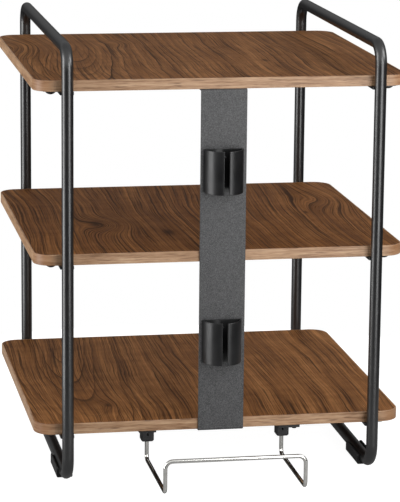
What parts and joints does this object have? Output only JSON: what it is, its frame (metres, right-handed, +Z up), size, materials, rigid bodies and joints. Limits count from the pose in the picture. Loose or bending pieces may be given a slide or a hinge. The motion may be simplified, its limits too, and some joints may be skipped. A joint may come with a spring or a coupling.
{
  "type": "audio equipment rack",
  "caption": "Open rack with walnut shelves hung between black tube loops, a steel cable spine with split clips and a plug-in wire cradle at the back",
  "frame": {"origin": "on the floor under the middle of the whole rack's outline, wire cradle included; the shelves' middle lies 67.5 mm towards +Y", "axes": "+Z up from the floor; -Y points out of the cable side with the spine and cradle; +X to the right as seen from that side"},
  "size_m": [0.55, 0.687, 0.652],
  "materials": {
    "frame_black": "fine textured satin powder coat",
    "spine_gray": "fine textured powder coat",
    "walnut_face": "oiled walnut veneer, satin",
    "walnut_edge": "pale walnut edge band, satin",
    "clip_black": "satin moulded",
    "moulded_black": "fine matt moulded",
    "wire_steel": "polished",
    "screw_black": "black zinc",
    "insert_zinc": "bright zinc"
  },
  "bodies": {
    "rack": {"left_frame_tube": "frame_black", "right_frame_tube": "frame_black", "bottom_shelf_board": "walnut_face", "bottom_shelf_edge_band": "walnut_edge", "left_bottom_rail": "frame_black", "right_bottom_rail": "frame_black", "middle_shelf_board": "walnut_face", "middle_shelf_edge_band": "walnut_edge", "left_middle_rail": "frame_black", "right_middle_rail": "frame_black", "top_shelf_board": "walnut_face", "top_shelf_edge_band": "walnut_edge", "left_top_rail": "frame_black", "right_top_rail": "frame_black", "shelf_screws": "screw_black", "shelf_inserts": "insert_zinc", "spine_plate": "spine_gray", "spine_screws": "screw_black", "upper_cable_clip": "clip_black", "lower_cable_clip": "clip_black", "clip_screws": "screw_black", "left_cradle_socket": "moulded_black", "right_cradle_socket": "moulded_black", "socket_screws": "screw_black", "front_left_foot": "moulded_black", "front_right_foot": "moulded_black", "rear_left_foot": "moulded_black", "rear_right_foot": "moulded_black"},
    "cradle": {"wire_cradle": "wire_steel"}
  },
  "joints": [
    {"name": "cradle_slide", "type": "slide", "parent": "rack", "child": "cradle", "axis": [0, 0, -1], "range_m": [0, 0.0135]}
  ]
}
